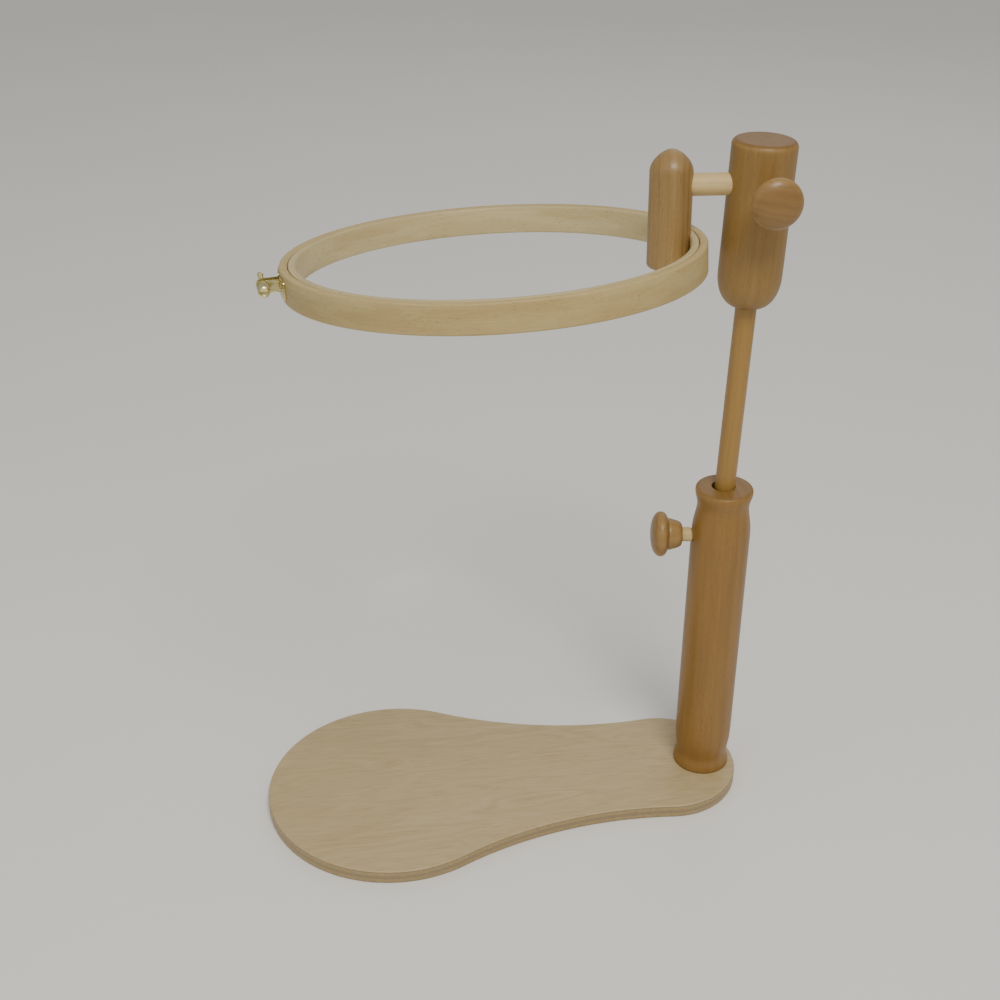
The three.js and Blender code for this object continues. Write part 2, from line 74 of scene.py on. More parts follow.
NODES = frame["nodes"]
JOINTS = {joint["name"]: joint for joint in frame["joints"]}
BODY_OF = {
    node: body
    for body, nodes in frame["record"]["behaviour"]["bodies"].items()
    for node in nodes
}

# Frames and sizes, read from the CAD -----------------------------------------------------------


def axis_of(joint):
    return Vector(JOINTS[joint]["axis"]).normalized()


def place_of(joint):
    return Vector(JOINTS[joint]["pos_m"])


def frame_at(origin, x_axis, z_axis):
    """A frame whose Z is z_axis, and whose X is as near to x_axis as that allows."""
    z = z_axis.normalized()
    y = z.cross(x_axis).normalized()
    matrix = Matrix((y.cross(z), y, z)).transposed().to_4x4()
    matrix.translation = origin
    return matrix


def shifted(matrix, x=0.0, y=0.0, z=0.0):
    """The same frame with its origin moved, in millimetres along its own axes."""
    return matrix @ Matrix.Translation(Vector((x, y, z)) * MM)


def local_box(node, matrix):
    """Lowest and highest corners of a CAD node in that frame, in millimetres."""
    inverse = matrix.inverted()
    points = [inverse @ vertex.co for vertex in NODES[node].data.vertices]
    low = Vector([min(point[i] for point in points) for i in range(3)]) / MM
    high = Vector([max(point[i] for point in points) for i in range(3)]) / MM
    return low, high


def half_width(node, matrix):
    """Radius of a round CAD node whose axis is parallel to that frame's Z, in millimetres."""
    low, high = local_box(node, matrix)
    return (high.y - low.y) / 2


BASE_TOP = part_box("base_plate")[1].z / MM

column_frame = shifted(Matrix.Identity(4), z=BASE_TOP)
rod_frame = frame_at(place_of("head_swivel"), WORLD_X, axis_of("head_swivel"))


def clamp_frame(name):
    """At the middle of the knob's collar, with Z pointing out of the knob."""
    joint = name + "_knob_turn"
    turning = frame_at(place_of(joint), UP, axis_of(joint))
    return shifted(turning, z=local_box(name + "_clamp_knob", turning)[0].z)


column_clamp_frame = clamp_frame("column")
head_clamp_frame = clamp_frame("head")

head_bottom = local_box("head_block", rod_frame)[0].z
head_x = (-axis_of("head_knob_turn")).cross(axis_of("head_swivel"))
head_frame = frame_at(shifted(rod_frame, z=head_bottom).translation, head_x, axis_of("head_swivel"))

# The arm's frame has X along the arm, away from the hoop. Its dowel is turned about dowel_frame's Z.
arm_x = axis_of("hoop_tilt")
arm_z = arm_x.cross(-axis_of("head_knob_turn"))
arm_frame = frame_at(place_of("hoop_tilt"), arm_x, arm_z)
dowel_frame = frame_at(place_of("hoop_tilt"), arm_z, arm_x)

# The hoop is tilted about the arm, and droops a little on its holder.
hoop_up = -axis_of("outer_ring_off")
up_in_arm = arm_frame.to_3x3().inverted() @ hoop_up
tilted_frame = arm_frame @ Matrix.Rotation(math.atan2(-up_in_arm.y, up_in_arm.z), 4, "X")
drooped_frame = tilted_frame @ Matrix.Rotation(math.asin(up_in_arm.x), 4, "Y")

HOLDER_RADIUS = half_width("hoop_holder", tilted_frame)
holder_frame = shifted(tilted_frame, x=local_box("hoop_holder", tilted_frame)[0].x + HOLDER_RADIUS)

ring_low, ring_high = local_box("inner_ring", drooped_frame)
hoop_frame = shifted(drooped_frame, *((ring_low + ring_high) / 2))
hoop_x = hoop_frame.to_3x3().col[0]

# At the split, X points out of the hoop and Y runs along its rim towards the near side.
split_frame = frame_at(hoop_frame.translation, axis_of("tension_screw_turn").cross(hoop_up), hoop_up)
tension_frame = frame_at(
    place_of("tension_screw_turn"), split_frame.to_3x3().col[0], axis_of("tension_screw_turn")
)

# Sizes in millimetres that the boxes don't give -----------------------------------------------

END_RADIUS = 48.0           # the paddle's small end
WAIST_RADIUS = 260.0        # the hollow arcs between its lobe and its small end
EDGE_ROUND = 1.3
COLUMN_RADIUS = 18.6        # its plain stretch
BORE_RADIUS = 7.5
BORE_DEPTH = 185.0
BORE_SHIFT = 0.85           # towards the clamp, which presses the rod to the bore's far wall
SNUG = 0.08                 # between a piece and the hole that it fits
OVERCUT = 3.0               # how far a clamp's hole runs on into the bore that it opens into
HEAD_NOSE_RADIUS = 7.5      # the flat under the head
HEAD_NOSE_HEIGHT = 19.0
HEAD_TOP_ROUND = 3.6
ROD_IN_HEAD = 40.3          # depth of the rod's hole
HOLDER_DOME_HEIGHT = 11.8
HOLDER_DOME_POWER = 1.6     # 2 is an ellipse, and less is more like a bullet
HOLDER_FOOT_ROUND = 3.0
INNER_RING_WALL = 4.2
OUTER_RING_WALL = 4.7
RING_EASE = 1.1
RING_STEPS = 288            # rows round each ring
SPLIT_EASE = 0.35           # rounding of the outer ring's two ends
SPLIT_GAP = 3.0
THREAD_PITCH = 3.0          # wooden thread of the clamp screws
THREAD_DEPTH = 0.95
PLAIN_NECK = 3.6            # unthreaded, slimmer stretch of each clamp screw at its knob
NECK_RADIUS = 4.6
DOWEL_EASE = 0.7            # rounding at the ends of the rod and the arm
BASE_SCREW_RADIUS = 2.0
BASE_SCREW_PITCH = 1.6
HOLDER_SCREW_RADIUS = 1.3
HOLDER_SCREW_PITCH = 1.1
BRASS_THICKNESS = 0.8
BRASS_EASE = 0.28           # rounding of the folded sheet's edges
SLIVER = 0.04               # points of the flat sheet closer than this are merged
BEND_RADIUS = 1.3           # to the middle of the folded sheet
LUG_OFFSET = 3.4            # from the middle of the split to the middle of each lug's sheet
LUG_HEIGHT = 7.0
PLATE_LENGTH = 16.0         # of the sheet that lies on the ring
PLATE_CORNER = 2.0
NAIL_HEAD_RADIUS = 1.4
NAIL_HEAD_HEIGHT = 0.85
NAIL_RADIUS = 0.6
NAIL_HOLE_RADIUS = 0.7
SCREW_RADIUS = 1.5          # the hoop screw
SCREW_PITCH = 0.5
SCREW_THREAD_DEPTH = 0.28
KNURL_TEETH = 32
KNURL_DEPTH = 0.22
NUT_CHAMFER = 0.45
TAIL_RADIUS = 1.9           # the screw's end is riveted over, so that the nut can't be lost
SLOT_WIDTH = 0.9
SLOT_DEPTH = 1.1

# Mesh helpers ---------------------------------------------------------------------------------


def new_object(name, mesh, place):
    obj = bpy.data.objects.new(name, mesh)
    bpy.context.scene.collection.objects.link(obj)
    obj.matrix_world = place
    return obj


def skin(name, rows, place, loop=False):
    """A closed surface over rows of points in millimetres, each row a closed loop. The first and last
    rows are capped, or joined to each other if loop is true."""
    width = len(rows[0])
    points = [Vector(point) * MM for row in rows for point in row]
    pairs = [(i, i + 1) for i in range(len(rows) - 1)]
    if loop:
        pairs.append((len(rows) - 1, 0))
    faces = [
        (a * width + j, a * width + (j + 1) % width, b * width + (j + 1) % width, b * width + j)
        for a, b in pairs
        for j in range(width)
    ]
    if not loop:
        last = (len(rows) - 1) * width
        faces.append(tuple(range(width)))
        faces.append(tuple(range(last, last + width)))
    mesh = bpy.data.meshes.new(name)
    mesh.from_pydata(points, [], faces)
    face_outwards(mesh)
    return new_object(name, mesh, place)


def face_outwards(mesh):
    work = bmesh.new()
    work.from_mesh(mesh)
    bmesh.ops.recalc_face_normals(work, faces=work.faces)
    work.to_mesh(mesh)
    work.free()


def circle(radius, height, segments, reshape=None):
    row = []
    for j in range(segments):
        angle = TAU * j / segments
        reach = reshape(radius, angle, height) if reshape else radius
        row.append((reach * math.cos(angle), reach * math.sin(angle), height))
    return row


def lathe(name, profile, place, segments, reshape=None, loop=False):
    """Turns a profile of (radius, height) points about Z. reshape(radius, angle, height) can change a
    point's radius, as a thread or a knurl does."""
    rows = [circle(radius, height, segments, reshape) for radius, height in profile]
    return skin(name, rows, place, loop)


def round_cutter(radius, bottom, top, place, segments=64):
    return lathe("cutter", [(radius, bottom), (radius, top)], place, segments)


def slot_cutter(reach, width, bottom, top, place):
    """A box across the axis, for a screwdriver's slot."""
    half = width / 2
    corners = [(-reach, -half), (reach, -half), (reach, half), (-reach, half)]
    rows = [[(x, y, height) for x, y in corners] for height in (bottom, top)]
    return skin("cutter", rows, place)


def smooth(points, spacing):
    """Points about that far apart on a centripetal Catmull-Rom curve through the ones given."""
    path = [Vector(point) for point in points]
    path = [2 * path[0] - path[1], *path, 2 * path[-1] - path[-2]]
    curve = []
    for a, b, c, d in zip(path, path[1:], path[2:], path[3:]):
        start = math.sqrt((b - a).length)
        end = start + math.sqrt((c - b).length)
        stop = end + math.sqrt((d - c).length)
        steps = max(2, math.ceil((c - b).length / spacing))
        for step in range(steps):
            at = start + (end - start) * step / steps
            ab = a.lerp(b, at / start)
            bc = b.lerp(c, (at - start) / (end - start))
            cd = c.lerp(d, (at - end) / (stop - end))
            abc = ab.lerp(bc, at / end)
            bcd = bc.lerp(cd, (at - start) / (stop - start))
            curve.append(tuple(abc.lerp(bcd, (at - start) / (end - start))))
    curve.append(tuple(path[-2]))
    return curve


def straight(start, end, spacing):
    """Points about that far apart from start to end, both included."""
    start, end = Vector(start), Vector(end)
    steps = max(1, round((end - start).length / spacing))
    return [tuple(start.lerp(end, step / steps)) for step in range(steps + 1)]


def quarter_round(start, end, steps, power=2.0):
    """Points of a quarter ellipse that leaves start along its second axis and reaches end along its
    first one. A power below 2 makes it more pointed."""
    points = []
    for step in range(steps + 1):
        turn = TAU / 4 * step / steps
        first = end[0] + (start[0] - end[0]) * abs(math.cos(turn)) ** (2 / power)
        second = start[1] + (end[1] - start[1]) * math.sin(turn) ** (2 / power)
        points.append((first, second))
    return points


def apply_modifiers(obj):
    graph = bpy.context.evaluated_depsgraph_get()
    mesh = bpy.data.meshes.new_from_object(obj.evaluated_get(graph))
    obj.modifiers.clear()
    obj.data = mesh


def cut(obj, *cutters):
    for cutter in cutters:
        modifier = obj.modifiers.new("cut", "BOOLEAN")
        modifier.operation = "DIFFERENCE"
        modifier.solver = "EXACT"
        modifier.object = cutter
    apply_modifiers(obj)
    for cutter in cutters:
        bpy.data.objects.remove(cutter)


def thread(pitch, depth, bottom, top, crest=0.25):
    """A lathe's reshape for a screw thread between two heights. It fades out at both."""

    def reshape(radius, angle, height):
        fade = min(1.0, max(0.0, min(height - bottom, top - height) / pitch))
        across = abs(2 * ((height / pitch - angle / TAU) % 1) - 1)
        groove = min(1.0, max(0.0, across - crest) / (1 - crest))
        return radius - depth * fade * groove

    return reshape


def finish_piece(obj, node, material, sharp=35):
    """Stands for a CAD node: the piece takes its name, body and material slot. Edges that turn more
    than sharp, in degrees, stay hard."""
    obj.name = node + "_look"
    obj.data.name = obj.name
    obj.data.materials.clear()
    obj.data.materials.append(material)
    obj.data.shade_smooth()
    obj.data.set_sharp_from_angle(angle=math.radians(sharp))
    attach(obj, BODY_OF[node])
    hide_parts(node)


# Camera ---------------------------------------------------------------------------------------

CAMERA_FROM_COLUMN_TOP = Vector((-0.2550, -0.7721, 0.4348))     # metres
CAMERA_HEADING = math.radians(8.33)     # clockwise from +Y
CAMERA_PITCH = math.radians(29.02)      # below the horizon
CAMERA_ROLL = math.radians(0.35)
CAMERA_LENS = 52.45


def make_camera():
    data = bpy.data.cameras.new("camera")
    data.sensor_width = 36
    data.lens = CAMERA_LENS
    camera = bpy.data.objects.new("camera", data)
    bpy.context.scene.collection.objects.link(camera)
    turn = (
        Matrix.Rotation(-CAMERA_HEADING, 4, "Z")
        @ Matrix.Rotation(math.pi / 2 - CAMERA_PITCH, 4, "X")
        @ Matrix.Rotation(CAMERA_ROLL, 4, "Z")
    )
    camera.matrix_world = Matrix.Translation(place_of("head_swivel") + CAMERA_FROM_COLUMN_TOP) @ turn
    bpy.context.scene.camera = camera


make_camera()

# Shader helpers -------------------------------------------------------------------------------


def colour(code):
    """The linear colour of an sRGB hex code, with alpha."""
    channels = [int(code[i:i + 2], 16) / 255 for i in (0, 2, 4)]
    linear = [c / 12.92 if c <= 0.04045 else ((c + 0.055) / 1.055) ** 2.4 for c in channels]
    return (*linear, 1.0)


class Shader:
    """A material whose nodes are added one at a time. An input given a socket is linked to it."""

    def __init__(self, name):
        self.material = bpy.data.materials.new(name)
        self.material.use_nodes = True
        self.tree = self.material.node_tree
        self.tree.nodes.clear()
        self.coordinates = self.node("TexCoord")

    def node(self, kind, inputs=None, **settings):
        made = self.tree.nodes.new("ShaderNode" + kind)
        for key, value in settings.items():
            setattr(made, key, value)
        for key, value in (inputs or {}).items():
            if isinstance(value, bpy.types.NodeSocket):
                self.tree.links.new(value, made.inputs[key])
            else:
                made.inputs[key].default_value = value
        return made

    def math(self, operation, *terms):
        return self.node("Math", dict(enumerate(terms)), operation=operation).outputs[0]

    def stretched(self, place, scale, location=(0, 0, 0)):
        return self.node("Mapping", {"Vector": place, "Location": location, "Scale": scale}).outputs[0]

    def millimetres(self):
        return self.stretched(self.coordinates.outputs["Object"], (1000, 1000, 1000))

    def length(self, place):
        return self.node("VectorMath", {0: place}, operation="LENGTH").outputs["Value"]

    def noise(self, place, scale, detail=2.0, roughness=0.5, location=(0, 0, 0)):
        """The scale is in features per millimetre along X, Y and Z."""
        inputs = {"Vector": self.stretched(place, scale, location), "Scale": 1.0, "Detail": detail,
                  "Roughness": roughness}
        return self.node("TexNoise", inputs).outputs[0]

    def noise_along(self, value, detail=2.0, roughness=0.5):
        inputs = {"W": value, "Scale": 1.0, "Detail": detail, "Roughness": roughness}
        return self.node("TexNoise", inputs, noise_dimensions="1D").outputs[0]

    def ramp(self, value, low, high, start=0.0, end=1.0):
        """Runs smoothly from start to end while the value goes from low to high."""
        inputs = {0: value, 1: low, 2: high, 3: start, 4: end}
        made = self.node("MapRange", inputs, interpolation_type="SMOOTHSTEP", clamp=True)
        return made.outputs[0]

    def mix(self, factor, first, second, blend="MIX"):
        inputs = {0: factor, 6: first, 7: second}
        return self.node("Mix", inputs, data_type="RGBA", blend_type=blend).outputs[2]

    def shaded(self, paint, light):
        """The paint made darker or paler by a factor of about 1."""
        tint = self.node("CombineXYZ", {0: light, 1: light, 2: light}).outputs[0]
        return self.mix(1.0, paint, tint, "MULTIPLY")

    def bump(self, height, distance, strength=1.0):
        inputs = {"Height": height, "Distance": distance, "Strength": strength}
        return self.node("Bump", inputs).outputs[0]

    def close(self, inputs):
        surface = self.node("BsdfPrincipled", inputs).outputs[0]
        self.node("OutputMaterial", {"Surface": surface})
        return self.material


# Wood -----------------------------------------------------------------------------------------


@dataclass
class Wood:
    pale: str               # colours as sRGB hex codes
    dark: str
    fleck: str
    end: str
    layer: float            # width of a growth layer, in millimetres
    figure: float           # how strongly the layers show, from 0 to 1
    streaks: float          # the same for the fibres
    flecks: float           # and for the short dark ray flecks
    roughness: float
    coat: float
    coat_roughness: float


COLUMN = Wood("946e2f", "7c5822", "64441c", "80602e", 3.6, 0.22, 0.4, 0.45, 0.46, 0.2, 0.25)
HEAD = Wood("97763d", "7d5e29", "644720", "724e18", 3.6, 0.22, 0.4, 0.4, 0.48, 0.12, 0.3)
KNOB = Wood("9c7a42", "82602e", "66461f", "866430", 3.0, 0.25, 0.4, 0.4, 0.45, 0.3, 0.24)
AMBER = Wood("a27d3a", "886528", "6c4c1c", "78582a", 4.0, 0.2, 0.5, 0.3, 0.44, 0.25, 0.22)
HOLDER = Wood("a0824e", "806030", "64401c", "a08452", 2.6, 0.4, 0.5, 0.4, 0.44, 0.25, 0.24)
PALE = Wood("d6bf8a", "bf9f66", "9c7a48", "b0925e", 3.4, 0.3, 0.5, 0.3, 0.6, 0.05, 0.4)
INNER_HOOP = Wood("c9ba8c", "ad9964", "8d7446", "a38a5e", 2.4, 0.35, 0.5, 0.45, 0.52, 0.1, 0.3)
OUTER_HOOP = Wood("c4af78", "a68c54", "876a3a", "9c8052", 2.4, 0.35, 0.5, 0.45, 0.52, 0.08, 0.3)


def end_grain_share(shader):
    """How far the surface faces along Z, from 0 to 1."""
    along = shader.node("SeparateXYZ", {0: shader.coordinates.outputs["Normal"]}).outputs[2]
    return shader.ramp(shader.math("ABSOLUTE", along), 0.5, 0.95)


def bent_grain(shader, radius):
    """Millimetres with Z along the grain of wood bent round the object's Z axis. The seam is on +X."""
    x, y, z = shader.node("SeparateXYZ", {0: shader.millimetres()}).outputs
    angle = shader.math("ARCTAN2", shader.math("MULTIPLY", y, -1.0), shader.math("MULTIPLY", x, -1.0))
    along = shader.math("MULTIPLY", angle, radius)
    depth = shader.length(shader.node("CombineXYZ", {0: x, 1: y}).outputs[0])
    return shader.node("CombineXYZ", {0: depth, 1: z, 2: along}).outputs[0]


def growth_layers(shader, place, width):
    """Distance from the tree's heart, wandering a little along the trunk, in layers that wide."""
    wander = shader.noise(place, (0.045, 0.045, 0.008), detail=3.0)
    distance = shader.length(shader.stretched(place, (1, 1, 0)))
    distance = shader.math("MULTIPLY_ADD", wander, 9.0, distance)
    layers = shader.noise_along(shader.math("DIVIDE", distance, width), detail=2.0, roughness=0.6)
    return shader.ramp(layers, 0.3, 0.72)


def end_grain(shader, place, layers, wood):
    """It drinks the varnish: darker, with the layers in rings and open pores."""
    pores = shader.ramp(shader.noise(place, (3.2, 3.2, 0.4), detail=1.0), 0.55, 0.7)
    rings = shader.mix(layers, colour(wood.end), colour(wood.fleck))
    cross = shader.mix(0.35, colour(wood.end), rings)
    return shader.mix(shader.math("MULTIPLY", pores, 0.35), cross, colour(wood.fleck))


def edge_wear_highlight_and_hollow_shade(shader, paint, wood):
    """Edges are painted paler, partly as rubbed wear and partly as a painted highlight, and hollows are painted
    darker as painted shade.
    """
    edges = shader.node("NewGeometry").outputs["Pointiness"]
    # Convex edges take the pale colour: partly rubbed wear, partly a painted highlight.
    paint = shader.mix(shader.ramp(edges, 0.52, 0.62, 0.0, 0.3), paint, colour(wood.pale))
    # Hollows take the fleck colour: painted shade in the recesses.
    return shader.mix(shader.ramp(edges, 0.4, 0.48, 0.3, 0.0), paint, colour(wood.fleck))


def painted_wood(shader, place, end, wood, seed):
    """Finishes a wood material. end is how far the surface is end grain, or None. The seed picks
    which part of the tree the piece was cut from."""
    heart = (31.0 + 7.3 * seed, 18.0 - 5.1 * seed, 140.0 * seed)
    place = shader.stretched(place, (1, 1, 1), location=heart)
    layers = growth_layers(shader, place, wood.layer)
    fibres = shader.noise(place, (2.6, 2.6, 0.05), detail=4.0, roughness=0.65)
    threads = shader.noise(place, (9.0, 9.0, 0.22))
    drift = shader.noise(place, (0.09, 0.09, 0.012))
    flecks = shader.ramp(shader.noise(place, (2.3, 2.3, 0.28), detail=1.0, location=(5, 9, 3)), 0.62, 0.72)

    tone = shader.math("MULTIPLY", layers, wood.figure)
    tone = shader.math("MULTIPLY_ADD", shader.ramp(fibres, 0.32, 0.7), 0.55 * wood.streaks, tone)
    tone = shader.math("MULTIPLY_ADD", shader.ramp(drift, 0.3, 0.75), 0.35, tone)
    paint = shader.mix(shader.math("MINIMUM", tone, 1.0), colour(wood.pale), colour(wood.dark))
    paint = shader.mix(shader.math("MULTIPLY", flecks, wood.flecks), paint, colour(wood.fleck))
    paint = shader.shaded(paint, shader.math("MULTIPLY_ADD", threads, 0.22, 0.89))
    if end is not None:
        cross = end_grain(shader, place, layers, wood)
        paint = shader.mix(shader.math("MULTIPLY", end, 0.8), paint, cross)
    # Painted highlight with edge wear on convex edges, and painted shade in hollows.
    paint = edge_wear_highlight_and_hollow_shade(shader, paint, wood)

    smudges = shader.noise(place, (0.12, 0.12, 0.05), detail=3.0)
    rough = shader.math("MULTIPLY_ADD", fibres, 0.14, wood.roughness - 0.11)
    rough = shader.math("MULTIPLY_ADD", smudges, 0.16, rough)
    relief = shader.math("MULTIPLY_ADD", flecks, -0.6, shader.math("ADD", fibres, threads))
    return shader.close({
        "Base Color": paint,
        "Roughness": rough,
        "Coat Weight": wood.coat,
        "Coat Roughness": wood.coat_roughness,
        "Normal": shader.bump(relief, 0.00008, 0.5),
    })


def straight_wood(name, wood, seed):
    """Wood with its grain along the object's Z."""
    shader = Shader(name)
    return painted_wood(shader, shader.millimetres(), end_grain_share(shader), wood, seed)


def bent_wood(name, wood, seed, radius):
    """Wood bent to a ring of that radius. It shows no end grain."""
    shader = Shader(name)
    return painted_wood(shader, bent_grain(shader, radius), None, wood, seed)


# Plywood --------------------------------------------------------------------------------------

PLY_PALE = "c4b188"
PLY_MID = "b29d70"
PLY_DARK = "947d54"
PLY_CORE = "85745a"
PLY_GLUE = "705e48"
FACE_PLY = 0.8              # thickness of each face veneer, in millimetres
GLUE_LINE = 0.35            # how far the glue under it reaches to each side
CORE_PLY = 2.3              # thickness of the dark core


def plywood(name, thickness):
    """Rotary-cut veneer with its grain along X. The plies show at the edge, by height above z = 0."""
    shader = Shader(name)
    place = shader.millimetres()
    z = shader.node("SeparateXYZ", {0: place}).outputs[2]

    # Flame figure: contours of a slow noise, drawn out along the grain.
    slow = shader.noise(place, (0.006, 0.032, 0.05), roughness=0.45)
    flame = shader.noise_along(shader.math("MULTIPLY", slow, 26.0), detail=2.0, roughness=0.55)
    flame = shader.ramp(flame, 0.3, 0.7)
    fibres = shader.noise(place, (0.035, 1.9, 1.9), detail=4.0, roughness=0.65)
    threads = shader.noise(place, (0.16, 7.0, 7.0))
    streaks = shader.noise(place, (0.045, 0.75, 0.75), detail=3.0, roughness=0.6, location=(3, 8, 5))
    streaks = shader.ramp(streaks, 0.57, 0.7)
    drift = shader.ramp(shader.noise(place, (0.008, 0.022, 0.02)), 0.3, 0.7)

    face = shader.mix(shader.math("MULTIPLY", flame, 0.5), colour(PLY_PALE), colour(PLY_MID))
    face = shader.mix(shader.math("MULTIPLY", drift, 0.35), face, colour(PLY_MID))
    fine = shader.math("MULTIPLY", shader.ramp(fibres, 0.35, 0.75), 0.45)
    face = shader.mix(fine, face, colour(PLY_DARK))
    face = shader.mix(shader.math("MULTIPLY", streaks, 0.4), face, colour(PLY_DARK))

    # Edge: pale plies, dark core and glue lines, mirrored about the middle of the thickness.
    half = thickness / 2
    level = shader.math("ABSOLUTE", shader.math("SUBTRACT", z, half))
    waver = shader.noise(place, (0.03, 0.03, 0.03))
    level = shader.math("MULTIPLY_ADD", waver, 0.3, level)
    core = shader.ramp(level, CORE_PLY / 2, CORE_PLY / 2 + 0.3, 1.0, 0.0)
    from_glue = shader.math("ABSOLUTE", shader.math("SUBTRACT", level, half - FACE_PLY))
    glue = shader.ramp(from_glue, 0.1, GLUE_LINE, 1.0, 0.0)
    strands = shader.noise(place, (0.5, 0.5, 4.0), detail=3.0)
    edge = shader.mix(shader.ramp(strands, 0.3, 0.7), colour(PLY_MID), colour(PLY_DARK))
    edge = shader.mix(shader.math("MULTIPLY", core, 0.6), edge, colour(PLY_CORE))
    edge = shader.mix(shader.math("MULTIPLY", glue, 0.6), edge, colour(PLY_GLUE))
    upright = shader.node("SeparateXYZ", {0: shader.coordinates.outputs["Normal"]}).outputs[2]
    on_edge = shader.ramp(shader.math("ABSOLUTE", upright), 0.35, 0.8, 1.0, 0.0)
    paint = shader.mix(on_edge, face, edge)
    paint = shader.shaded(paint, shader.math("MULTIPLY_ADD", threads, 0.16, 0.92))

    rough = shader.math("MULTIPLY_ADD", fibres, 0.18, 0.42)
    relief = shader.math("MULTIPLY_ADD", streaks, -0.5, shader.math("ADD", fibres, threads))
    return shader.close({
        "Base Color": paint,
        "Roughness": rough,
        "Coat Weight": 0.18,
        "Coat Roughness": 0.32,
        "Normal": shader.bump(relief, 0.00008, 0.45),
    })


# Metal ----------------------------------------------------------------------------------------


def metal(name, bright, dull, roughness, seed):
    """Plated or pressed metal, duller in patches and finely scratched."""
    shader = Shader(name)
    place = shader.stretched(shader.coordinates.outputs["Object"], (1000, 1000, 1000), (seed, 2 * seed, 0))
    patches = shader.ramp(shader.noise(place, (0.35, 0.35, 0.35), detail=4.0), 0.42, 0.72)
    grain = shader.noise(place, (6.0, 6.0, 0.8), detail=3.0)
    edges = shader.node("NewGeometry").outputs["Pointiness"]
    hollows = shader.ramp(edges, 0.4, 0.49, 0.6, 0.0)
    paint = shader.mix(shader.math("MULTIPLY", patches, 0.6), colour(bright), colour(dull))
    paint = shader.mix(hollows, paint, colour(dull))
    rough = shader.math("MULTIPLY_ADD", patches, 0.18, roughness)
    rough = shader.math("MULTIPLY_ADD", grain, 0.1, rough)
    return shader.close({
        "Base Color": paint,
        "Metallic": 1.0,
        "Roughness": rough,
        "Normal": shader.bump(grain, 0.00002, 0.4),
    })


BRASS = metal("brass", "e6daa0", "6c6438", 0.2, 1.0)
STEEL = metal("steel", "c6c6c2", "807e78", 0.28, 2.0)

# Base -----------------------------------------------------------------------------------------

base_low, base_high = [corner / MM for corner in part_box("base_plate")]
LOBE_RADIUS = (base_high.y - base_low.y) / 2
LOBE_X = base_low.x + LOBE_RADIUS
END_X = base_high.x - END_RADIUS


def arc(centre, radius, start, end, steps):
    """Points of an arc from start up to, but not including, end."""
    turns = [start + (end - start) * step / steps for step in range(steps)]
    return [(centre[0] + radius * math.cos(t), centre[1] + radius * math.sin(t)) for t in turns]


def paddle(inset, height):
    """One row round the base, that far inside its outline: two circles joined on each side by a
    hollow arc that touches both."""
    span = END_X - LOBE_X
    to_lobe = LOBE_RADIUS + WAIST_RADIUS
    to_end = END_RADIUS + WAIST_RADIUS
    along = (span ** 2 + to_lobe ** 2 - to_end ** 2) / (2 * span)
    waist = (LOBE_X + along, math.sqrt(to_lobe ** 2 - along ** 2))
    lobe_turn = math.atan2(waist[1], along)
    end_turn = math.atan2(waist[1], waist[0] - END_X)
    hollow = WAIST_RADIUS + inset
    outline = [
        *arc((LOBE_X, 0), LOBE_RADIUS - inset, lobe_turn, TAU - lobe_turn, steps=150),
        *arc((waist[0], -waist[1]), hollow, math.pi - lobe_turn, math.pi - end_turn, steps=60),
        *arc((END_X, 0), END_RADIUS - inset, -end_turn, end_turn, steps=90),
        *arc(waist, hollow, end_turn - math.pi, lobe_turn - math.pi, steps=60),
    ]
    return [(x, y, height) for x, y in outline]


def wood_screw_cutter(node):
    """The countersunk hole for a screw that points up its frame's Z."""
    place, radius, head_radius, length = wood_screw_sizes(node)
    taper = head_radius - radius
    profile = [(head_radius, -1.0), (head_radius, 0.0), (radius, taper), (radius, length)]
    profile = [(reach + SNUG, height) for reach, height in profile]
    return lathe("cutter", profile, place, segments=48)


def wood_screw_sizes(node):
    """Frame at the middle of the screw's head with Z towards its point, and its sizes."""
    if node.startswith("base"):
        low, high = local_box(node, Matrix.Identity(4))
        middle = (low + high) / 2
        place = shifted(Matrix.Identity(4), middle.x, middle.y, low.z)
        return place, BASE_SCREW_RADIUS, (high.y - low.y) / 2, high.z - low.z
    low, high = local_box(node, hoop_frame)
    middle = (low + high) / 2
    inwards = frame_at(shifted(hoop_frame, high.x, middle.y, middle.z).translation, hoop_up, -hoop_x)
    return inwards, HOLDER_SCREW_RADIUS, (high.y - low.y) / 2, high.x - low.x


BASE_SCREWS = ["base_screw_1", "base_screw_2"]
HOLDER_SCREWS = ["holder_screw_1", "holder_screw_2"]


def make_base():
    lower = [(EDGE_ROUND * (1 - math.sin(turn)), EDGE_ROUND * (1 - math.cos(turn)))
             for turn in (TAU / 4 * step / 6 for step in range(7))]
    upper = [(inset, BASE_TOP - height) for inset, height in reversed(lower)]
    rows = [paddle(inset, height) for inset, height in lower + upper]
    board = skin("base", rows, Matrix.Identity(4))
    cut(board, *[wood_screw_cutter(node) for node in BASE_SCREWS])
    finish_piece(board, "base_plate", plywood("base_ply", BASE_TOP), sharp=50)


def make_wood_screw(node, pitch):
    """Countersunk, slotted and threaded."""
    place, radius, head_radius, length = wood_screw_sizes(node)
    taper = head_radius - radius
    point_start = length - 3 * radius
    shank = straight((radius, taper), (radius, point_start), spacing=pitch / 10)
    point = straight((radius, point_start), (0.15, length), spacing=pitch / 10)
    profile = [(head_radius - 0.2, 0.0), (head_radius, 0.2), *shank, *point[1:]]
    cutting = thread(pitch, 0.3 * radius, length * 0.3, length + pitch, crest=0.1)

    def reshape(reach, angle, height):
        return max(0.1, cutting(reach, angle, height))

    screw = lathe("screw", profile, place, 36, reshape)
    slot_width = 0.7 * radius
    slot_depth = 0.45 * radius
    cut(screw, slot_cutter(2 * head_radius, slot_width, -1, slot_depth, place))
    finish_piece(screw, node, STEEL)


# Column ---------------------------------------------------------------------------------------


